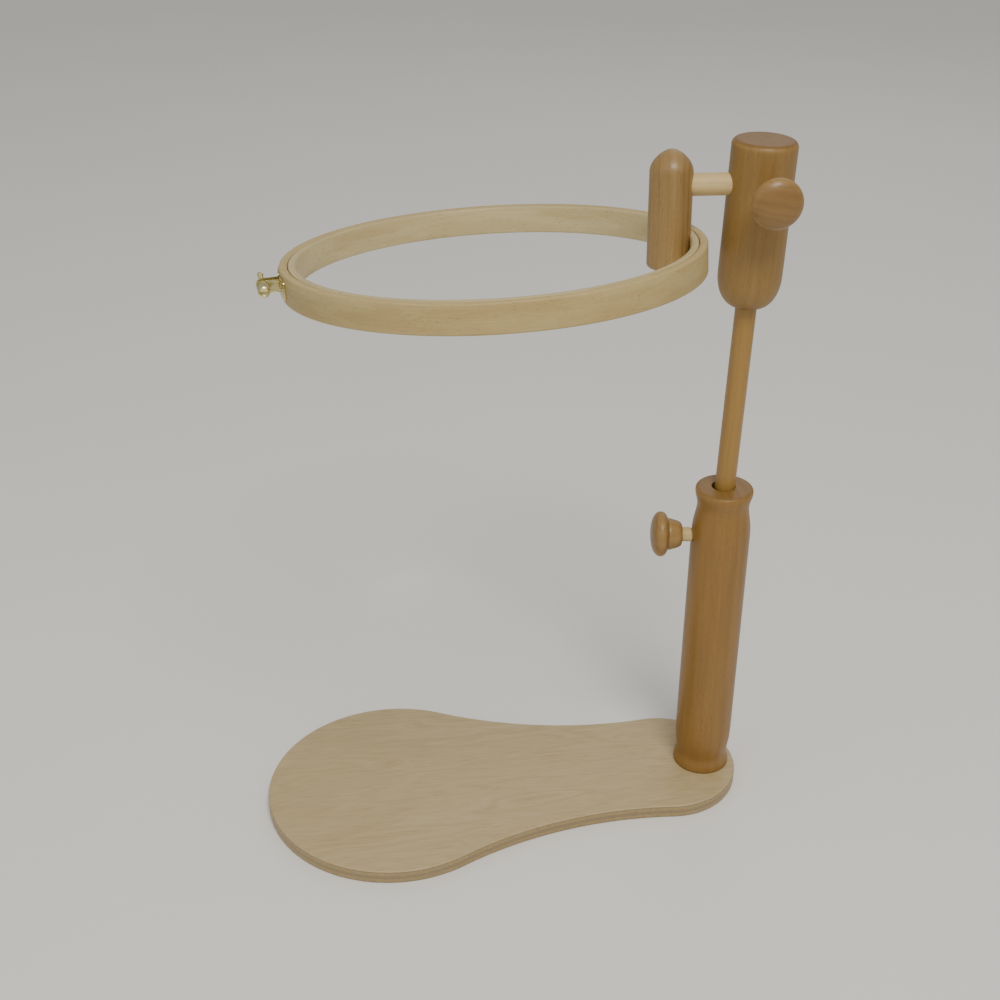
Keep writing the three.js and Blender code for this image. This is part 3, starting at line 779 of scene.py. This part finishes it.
def column_profile(top):
    """Radius and height from the foot up to the lip, where the rod goes in."""
    plain = COLUMN_RADIUS
    foot = [(18.3, 0.3), (18.7, 0.9), (18.6, 2.4), (18.2, 4.5), (17.4, 7), (16.9, 9.5),
            (17.1, 12), (17.6, 15.5), (18.1, 19), (18.5, 25), (plain, 32)]
    neck = [(plain, top - 40), (18.5, top - 29), (18.1, top - 24.5), (17.3, top - 19.5),
            (16.6, top - 15.5), (16.3, top - 12), (16.6, top - 8.6), (17.3, top - 5.8),
            (17.8, top - 4), (18.1, top - 2), (18, top - 0.4), (17.4, top + 0.5),
            (16.2, top + 0.9), (12, top + 1.3), (BORE_RADIUS, top + 1.5)]
    return [*smooth(foot, spacing=1.0), *smooth(neck, spacing=1.0)]


def make_column():
    top = local_box("column", column_frame)[1].z
    post = lathe("column", column_profile(top), column_frame, segments=128)
    pushed = axis_of("column_clamp_travel") * BORE_SHIFT * MM
    bore_frame = Matrix.Translation(pushed) @ rod_frame
    bore = round_cutter(BORE_RADIUS, -BORE_DEPTH, 5, bore_frame, segments=96)
    clamp_radius = half_width("column_clamp_screw", column_clamp_frame)
    clamp_start = local_box("column_clamp_screw", column_clamp_frame)[0].z - OVERCUT
    hole = round_cutter(clamp_radius + SNUG, clamp_start, 0, column_clamp_frame)
    cut(post, bore, hole, *[wood_screw_cutter(node) for node in BASE_SCREWS])
    finish_piece(post, "column", straight_wood("column_wood", COLUMN, seed=1.0))


# Clamps ---------------------------------------------------------------------------------------


def make_clamp(name, place, seed):
    """A mushroom knob and its threaded wooden shank. Z points out of the knob from its collar."""
    screw_node, knob_node = name + "_clamp_screw", name + "_clamp_knob"
    low, high = local_box(screw_node, place)
    radius = half_width(screw_node, place)
    tip = [(radius - 0.9, low.z), (radius - 0.5, low.z + 0.15), (radius, low.z + 1.0)]
    body = straight((radius, low.z + 1.0), (radius, -PLAIN_NECK), spacing=THREAD_PITCH / 12)
    neck = [(NECK_RADIUS + 0.1, -PLAIN_NECK + 0.3), (NECK_RADIUS, -PLAIN_NECK + 0.6),
            (NECK_RADIUS, high.z - 0.4), (NECK_RADIUS - 0.4, high.z)]
    cutting = thread(THREAD_PITCH, THREAD_DEPTH, low.z - THREAD_PITCH, -PLAIN_NECK + 0.6, crest=0.3)
    shank = lathe("shank", [*tip, *body[1:], *neck], place, 64, cutting)
    finish_piece(shank, screw_node, straight_wood(name + "_shank_wood", PALE, seed + 2.0), sharp=50)

    profile = smooth([(5.6, 0), (6.5, 0.2), (7.5, 0.9), (8.4, 2.2), (9.1, 4.2), (9.7, 6.3),
                      (10.1, 7.9), (10.1, 8.7), (11.3, 9.5), (13.1, 10.6), (14.1, 12), (14.4, 13.7),
                      (13.9, 15.5), (12.2, 17.3), (9.2, 18.8), (5, 19.7), (0.3, 20)], spacing=0.5)
    knob = lathe("knob", profile, place, segments=112)
    cut(knob, round_cutter(NECK_RADIUS + SNUG, -1, high.z + 0.3, place))
    finish_piece(knob, knob_node, straight_wood(name + "_knob_wood", KNOB, seed))


# Head, rod and arm ----------------------------------------------------------------------------


def make_dowel(node, place, wood, seed):
    low, high = local_box(node, place)
    radius = half_width(node, place)
    eased = radius - DOWEL_EASE
    bottom, top = low.z + DOWEL_EASE, high.z - DOWEL_EASE
    start = quarter_round((radius, bottom), (eased, low.z), steps=4)
    end = quarter_round((radius, top), (eased, high.z), steps=4)
    middle = straight((radius, bottom), (radius, top), spacing=2.0)
    stick = lathe("dowel", [*reversed(start), *middle[1:-1], *end], place, segments=96)
    finish_piece(stick, node, straight_wood(node + "_wood", wood, seed))


def make_head():
    length = local_box("head_block", head_frame)[1].z
    radius = half_width("head_block", head_frame)
    nose = quarter_round((radius, HEAD_NOSE_HEIGHT), (HEAD_NOSE_RADIUS, 0.0), steps=28)
    brow = quarter_round((radius, length - HEAD_TOP_ROUND), (radius - HEAD_TOP_ROUND, length), steps=10)
    wall = straight((radius, HEAD_NOSE_HEIGHT), (radius, length - HEAD_TOP_ROUND), spacing=2.0)
    head = lathe("head", [*reversed(nose), *wall[1:-1], *brow], head_frame, segments=128)

    rod_radius = half_width("height_rod", rod_frame)
    rod_hole = round_cutter(rod_radius + SNUG, -5, ROD_IN_HEAD, head_frame, segments=96)
    arm_radius = half_width("cross_arm", dowel_frame)
    arm_hole = round_cutter(arm_radius + SNUG, -3 * radius, 3 * radius, dowel_frame, segments=96)
    clamp_radius = half_width("head_clamp_screw", head_clamp_frame)
    clamp_start = local_box("head_clamp_screw", head_clamp_frame)[0].z - OVERCUT
    clamp_hole = round_cutter(clamp_radius + SNUG, clamp_start, 3 * radius, head_clamp_frame)
    cut(head, rod_hole, arm_hole, clamp_hole)
    finish_piece(head, "head_block", straight_wood("head_wood", HEAD, seed=2.4))


# Hoop holder ----------------------------------------------------------------------------------


def make_holder():
    low, high = local_box("hoop_holder", holder_frame)
    radius = HOLDER_RADIUS
    shoulder = high.z - HOLDER_DOME_HEIGHT
    foot_top = low.z + HOLDER_FOOT_ROUND
    foot = quarter_round((radius, foot_top), (radius - HOLDER_FOOT_ROUND, low.z), steps=10)
    wall = straight((radius, foot_top), (radius, shoulder - 0.35), spacing=1.5)
    crease = [(radius - 0.02, shoulder - 0.15), (radius - 0.08, shoulder), (radius - 0.1, shoulder + 0.3)]
    dome = quarter_round(crease[-1], (0.4, high.z), 36, HOLDER_DOME_POWER)
    peg = lathe("peg", [*reversed(foot), *wall[1:], *crease, *dome[3:]], holder_frame, segments=112)

    arm_radius = half_width("cross_arm", dowel_frame)
    arm_end = local_box("cross_arm", dowel_frame)[0].z
    arm_hole = round_cutter(arm_radius + SNUG, arm_end - SNUG, 0, dowel_frame, segments=96)
    half = (ring_high.z - ring_low.z) / 2 + SNUG
    ring_radius = half_width("inner_ring", hoop_frame)
    near, far = ring_radius - INNER_RING_WALL - SNUG, ring_radius + SNUG
    section = [(near, -half), (far, -half), (far, half), (near, half)]
    seat = lathe("cutter", section, hoop_frame, segments=256, loop=True)
    cut(peg, arm_hole, seat, *[wood_screw_cutter(node) for node in HOLDER_SCREWS])
    finish_piece(peg, "hoop_holder", straight_wood("holder_wood", HOLDER, seed=3.1))


# Rings ----------------------------------------------------------------------------------------


def ring_section(inside, outside, height, shrink=0.0):
    """Closed section of a ring, with its four edges eased."""
    half = height / 2 - shrink
    near, far = inside + shrink, outside - shrink
    ease = RING_EASE
    section = []
    for radius, level, quarter in ((far, half, 0), (near, half, 1), (near, -half, 2), (far, -half, 3)):
        across = radius - math.copysign(ease, radius - (near + far) / 2)
        centre = (across, level - math.copysign(ease, level))
        start, end = quarter * TAU / 4, (quarter + 1) * TAU / 4
        section += arc(centre, ease, start, end, steps=6)
        section.append((centre[0] + ease * math.cos(end), centre[1] + ease * math.sin(end)))
    return section


def bent_row(section, angle):
    return [(radius * math.cos(angle), radius * math.sin(angle), height) for radius, height in section]


def make_inner_ring():
    low, high = local_box("inner_ring", hoop_frame)
    outside = half_width("inner_ring", hoop_frame)
    section = ring_section(outside - INNER_RING_WALL, outside, high.z - low.z)
    rows = [bent_row(section, TAU * step / RING_STEPS) for step in range(RING_STEPS)]
    ring = skin("ring", rows, hoop_frame, loop=True)
    cut(ring, *[wood_screw_cutter(node) for node in HOLDER_SCREWS])
    wood = bent_wood("inner_ring_wood", INNER_HOOP, seed=1.7, radius=outside)
    finish_piece(ring, "inner_ring", wood)


def make_outer_ring():
    """The split is on +X."""
    low, high = local_box("outer_ring", split_frame)
    outside = half_width("outer_ring", split_frame)
    inside = outside - OUTER_RING_WALL
    half_gap = math.asin(SPLIT_GAP / 2 / outside)
    height = high.z - low.z
    ease = SPLIT_EASE
    sections = [ring_section(inside, outside, height, shrink) for shrink in (ease, ease / 3, 0.0)]
    starts = [half_gap, half_gap + ease / 3 / outside, half_gap + ease / outside]
    rows = [bent_row(section, start) for section, start in zip(sections, starts)]
    sweep = TAU - 2 * starts[-1]
    for step in range(1, RING_STEPS):
        rows.append(bent_row(sections[-1], starts[-1] + sweep * step / RING_STEPS))
    rows += [bent_row(section, -start) for section, start in reversed(list(zip(sections, starts)))]
    ring = skin("ring", rows, split_frame)
    wood = bent_wood("outer_ring_wood", OUTER_HOOP, seed=3.9, radius=outside)
    finish_piece(ring, "outer_ring", wood, sharp=50)


# Brass at the split ---------------------------------------------------------------------------

NAILS = ["bracket_nail_1", "bracket_nail_2", "bracket_nail_3", "bracket_nail_4"]
RING_OUTSIDE = half_width("outer_ring", split_frame)
SHEET_MIDDLE = RING_OUTSIDE + SNUG + BRASS_THICKNESS / 2
SCREW_AXIS_RADIUS = (split_frame.inverted() @ place_of("tension_screw_turn")).x / MM


def nail_turn(node):
    """Angle of a nail round the hoop, from the split."""
    low, high = local_box(node, split_frame)
    middle = (low + high) / 2
    return math.atan2(middle.y, middle.x)


class Strip:
    """The line that a bracket's sheet follows, from the plate's far end to the lug's tip: round the
    ring, out through a bend, and straight away from the ring."""

    def __init__(self):
        self.plate_end = (LUG_OFFSET + PLATE_LENGTH) / RING_OUTSIDE
        self.bend_reach = SHEET_MIDDLE + BEND_RADIUS
        self.bend_turn = math.asin((LUG_OFFSET + BEND_RADIUS) / self.bend_reach)
        self.bend_x = self.bend_reach * math.cos(self.bend_turn)
        self.bend_y = self.bend_reach * math.sin(self.bend_turn)
        self.plate = SHEET_MIDDLE * (self.plate_end - self.bend_turn)
        self.bend = BEND_RADIUS * (TAU / 4 - self.bend_turn)
        self.lug = SCREW_AXIS_RADIUS + LUG_HEIGHT / 2 - self.bend_x
        self.length = self.plate + self.bend + self.lug

    def at(self, along, side):
        """X and Y of the sheet's middle at that length along it."""
        if along < self.plate:
            angle = self.plate_end - along / SHEET_MIDDLE
            x, y = SHEET_MIDDLE * math.cos(angle), SHEET_MIDDLE * math.sin(angle)
        elif along < self.plate + self.bend:
            angle = math.pi + self.bend_turn + (along - self.plate) / BEND_RADIUS
            x = self.bend_x + BEND_RADIUS * math.cos(angle)
            y = self.bend_y + BEND_RADIUS * math.sin(angle)
        else:
            x, y = self.bend_x + along - self.plate - self.bend, LUG_OFFSET
        return x, side * y

    def outline(self, plate_height):
        """Flat shape of the sheet, along the strip and across it."""
        corner, half, lug_half = PLATE_CORNER, plate_height / 2, LUG_HEIGHT / 2
        tip = self.length - lug_half
        waist = self.plate + 0.3 * self.bend
        shoulder = smooth([(self.plate - 2.2, half), (self.plate - 0.8, half - 0.35),
                           (waist - 0.3, lug_half + 0.2), (waist + 1.2, lug_half)], spacing=0.4)
        return [
            *arc((corner, half - corner), corner, TAU / 2, TAU / 4, steps=8),
            (corner, half),
            *shoulder,
            *arc((tip, 0), lug_half, TAU / 4, -TAU / 4, steps=28),
            *[(x, -y) for x, y in reversed(shoulder)],
            (corner, -half),
            *arc((corner, corner - half), corner, -TAU / 4, -TAU / 2, steps=8),
        ]


def flat_sheet(strip, height):
    """The sheet before it is folded, with holes for its nails and the hoop screw. It is sliced across
    every millimetre of its plate and eight times round its bend, so that it can follow them."""
    loops = [strip.outline(height)]
    turns = sorted({round(abs(nail_turn(nail)), 4) for nail in NAILS})
    for turn in turns:
        along = SHEET_MIDDLE * (strip.plate_end - turn)
        loops.append(arc((along, 0), NAIL_HOLE_RADIUS, 0, TAU, steps=16))
    loops.append(arc((strip.length - LUG_HEIGHT / 2, 0), SCREW_RADIUS + 0.15, 0, TAU, steps=32))
    sheet = bmesh.new()
    edges = []
    for loop in loops:
        corners = [sheet.verts.new((along, across, 0)) for along, across in loop]
        edges += [sheet.edges.new(pair) for pair in zip(corners, corners[1:] + corners[:1])]
    bmesh.ops.triangle_fill(sheet, edges=edges, use_beauty=True)
    stops = [*range(1, int(strip.plate))]
    stops += [strip.plate + strip.bend * step / 8 for step in range(9)]
    for stop in stops:
        everything = [*sheet.verts, *sheet.edges, *sheet.faces]
        bmesh.ops.bisect_plane(sheet, geom=everything, plane_co=(stop, 0, 0), plane_no=(1, 0, 0))
    bmesh.ops.remove_doubles(sheet, verts=sheet.verts, dist=SLIVER)
    return sheet


def make_bracket(node, side):
    """A folded brass strip on one side of the split: 1 is the near side and -1 is the far one."""
    strip = Strip()
    low, high = local_box(node, split_frame)
    work = flat_sheet(strip, high.z - low.z)
    for vertex in work.verts:
        along, across = vertex.co.x, vertex.co.y
        x, y = strip.at(along, side)
        vertex.co = Vector((x, y, across)) * MM
    bmesh.ops.recalc_face_normals(work, faces=work.faces)
    mesh = bpy.data.meshes.new("sheet")
    work.to_mesh(mesh)
    work.free()
    sheet = new_object("sheet", mesh, split_frame)
    thicken = sheet.modifiers.new("thicken", "SOLIDIFY")
    thicken.thickness = BRASS_THICKNESS * MM
    thicken.offset = 0
    ease = sheet.modifiers.new("ease", "BEVEL")
    ease.width = BRASS_EASE * MM
    ease.segments = 3
    ease.limit_method = "ANGLE"
    ease.angle_limit = math.radians(50)
    apply_modifiers(sheet)
    finish_piece(sheet, node, BRASS)


def make_nail(node):
    """A domed brass nail. Z points in, at the hoop's axis, from the top of its head."""
    turn = nail_turn(node)
    out = Vector((math.cos(turn), math.sin(turn), 0))
    head_top = SHEET_MIDDLE + BRASS_THICKNESS / 2 + NAIL_HEAD_HEIGHT
    origin = split_frame @ (out * head_top * MM)
    world_out = split_frame.to_3x3() @ out
    place = frame_at(origin, hoop_up, -world_out)
    dome = quarter_round((NAIL_HEAD_RADIUS, NAIL_HEAD_HEIGHT), (0.15, 0.0), steps=10)
    profile = [*reversed(dome), (1.3, 0.95), (NAIL_RADIUS, 0.95), (NAIL_RADIUS, 4.5), (0.1, 5.3)]
    finish_piece(lathe("nail", profile, place, segments=32), node, BRASS)


def knurl(radius, teeth, depth, start, end):
    """A lathe's reshape for straight knurling between two heights, where the radius is that large."""

    def reshape(reach, angle, height):
        if reach < radius or not start < height < end:
            return reach
        tooth = abs(2 * ((angle * teeth / TAU) % 1) - 1)
        return reach - depth * tooth

    return reshape


def make_hoop_screw():
    """Long knurled and slotted head at the near side, thread towards the far one."""
    low, high = local_box("hoop_screw", tension_frame)
    head = half_width("hoop_screw", tension_frame)
    seat = LUG_OFFSET + BRASS_THICKNESS / 2 + SNUG
    end = high.z
    tail = [(0.5, low.z), (1.2, low.z + 0.2), (TAIL_RADIUS - 0.15, low.z + 0.8),
            (TAIL_RADIUS, low.z + 1.4), (TAIL_RADIUS - 0.15, low.z + 2), (SCREW_RADIUS, low.z + 2.6)]
    shank = straight((SCREW_RADIUS, low.z + 2.8), (SCREW_RADIUS, seat), spacing=SCREW_PITCH / 8)
    collar = [(head - 0.5, seat), (head - 0.25, seat + 0.2), (head - 0.25, seat + 1.0),
              (head - 0.7, seat + 1.2), (head - 0.7, seat + 1.7), (head, seat + 1.9)]
    grip = straight((head, seat + 2.2), (head, end - 1.1), spacing=1.0)
    face = [(head - 0.05, end - 0.9), (head - 0.3, end - 0.3), (head - 0.9, end),
            (head - 1.2, end - 0.05), (head - 1.5, end - 0.3), (0.4, end - 0.45)]
    cutting = thread(SCREW_PITCH, SCREW_THREAD_DEPTH, low.z + 2.8, seat - 1.5, crest=0.1)
    gripping = knurl(head - 0.02, KNURL_TEETH, KNURL_DEPTH, seat + 2.1, end - 1.0)

    def reshape(reach, angle, height):
        return gripping(cutting(reach, angle, height), angle, height)

    screw = lathe("screw", [*tail, *shank, *collar, *grip, *face], tension_frame, 192, reshape)
    slot_bottom = end - SLOT_DEPTH - 0.3
    cut(screw, slot_cutter(2 * head, SLOT_WIDTH, slot_bottom, end + 1, tension_frame))
    finish_piece(screw, "hoop_screw", BRASS)


def make_hoop_nut():
    """Six-sided, with chamfered corners."""
    low, high = local_box("hoop_nut", tension_frame)
    corner = max(high.x - low.x, high.y - low.y) / 2
    flat = corner * math.cos(TAU / 12)
    bore = SCREW_RADIUS + 0.05

    def reshape(reach, angle, height):
        if reach <= flat * 0.9:
            return reach
        side = flat / math.cos((angle + TAU / 12) % (TAU / 6) - TAU / 12)
        return min(reach, side)

    section = [(bore + 0.3, low.z), (flat * 0.92, low.z), (corner, low.z + NUT_CHAMFER),
               (corner, high.z - NUT_CHAMFER), (flat * 0.92, high.z), (bore + 0.3, high.z),
               (bore, high.z - 0.3), (bore, low.z + 0.3)]
    nut = lathe("nut", section, tension_frame, 96, reshape, loop=True)
    finish_piece(nut, "hoop_nut", BRASS, sharp=25)


# The whole object -----------------------------------------------------------------------------

make_base()
for node in BASE_SCREWS:
    make_wood_screw(node, BASE_SCREW_PITCH)
make_column()
make_clamp("column", column_clamp_frame, seed=8.0)
make_dowel("height_rod", rod_frame, AMBER, seed=5.2)
make_head()
make_clamp("head", head_clamp_frame, seed=6.0)
make_dowel("cross_arm", dowel_frame, PALE, seed=6.6)
make_holder()
make_inner_ring()
for node in HOLDER_SCREWS:
    make_wood_screw(node, HOLDER_SCREW_PITCH)
make_outer_ring()
make_bracket("near_bracket", 1)
make_bracket("far_bracket", -1)
for node in NAILS:
    make_nail(node)
make_hoop_screw()
make_hoop_nut()

# Floor and light ------------------------------------------------------------------------------

FLOOR_HALF_SIZE = 30.0      # metres


def make_floor():
    size = FLOOR_HALF_SIZE
    mesh = bpy.data.meshes.new("floor")
    corners = [(-size, -size, 0), (size, -size, 0), (size, size, 0), (-size, size, 0)]
    mesh.from_pydata(corners, [], [(0, 1, 2, 3)])
    floor = new_object("floor", mesh, Matrix.Identity(4))
    shader = Shader("floor")
    mottle = shader.noise(shader.millimetres(), (0.003, 0.003, 0.003), detail=3.0)
    paint = shader.mix(mottle, colour("ecebe8"), colour("f1f0ed"))
    floor.data.materials.append(shader.close({"Base Color": paint, "Roughness": 0.85}))


def make_light(name, place, target, size, power, tint):
    data = bpy.data.lights.new(name, "AREA")
    data.shape = "DISK"
    data.size = size
    data.energy = power
    data.color = colour(tint)[:3]
    light = bpy.data.objects.new(name, data)
    bpy.context.scene.collection.objects.link(light)
    toward = Vector(target) - Vector(place)
    light.matrix_world = frame_at(Vector(place), WORLD_X, -toward)


def make_world():
    world = bpy.data.worlds.new("studio")
    world.use_nodes = True
    background = world.node_tree.nodes["Background"]
    background.inputs["Color"].default_value = colour("f1f0ec")
    background.inputs["Strength"].default_value = 0.5
    bpy.context.scene.world = world


middle = (cad_box[0] + cad_box[1]) / 2
make_floor()
make_world()
make_light("key", (0.0, -1.15, 2.1), middle, size=0.9, power=32, tint="fff9f0")
make_light("fill", (-1.7, -0.9, 1.3), middle, size=1.6, power=4, tint="f4f6ff")
make_light("rim", (0.6, 1.7, 1.5), middle, size=1.2, power=3, tint="ffffff")
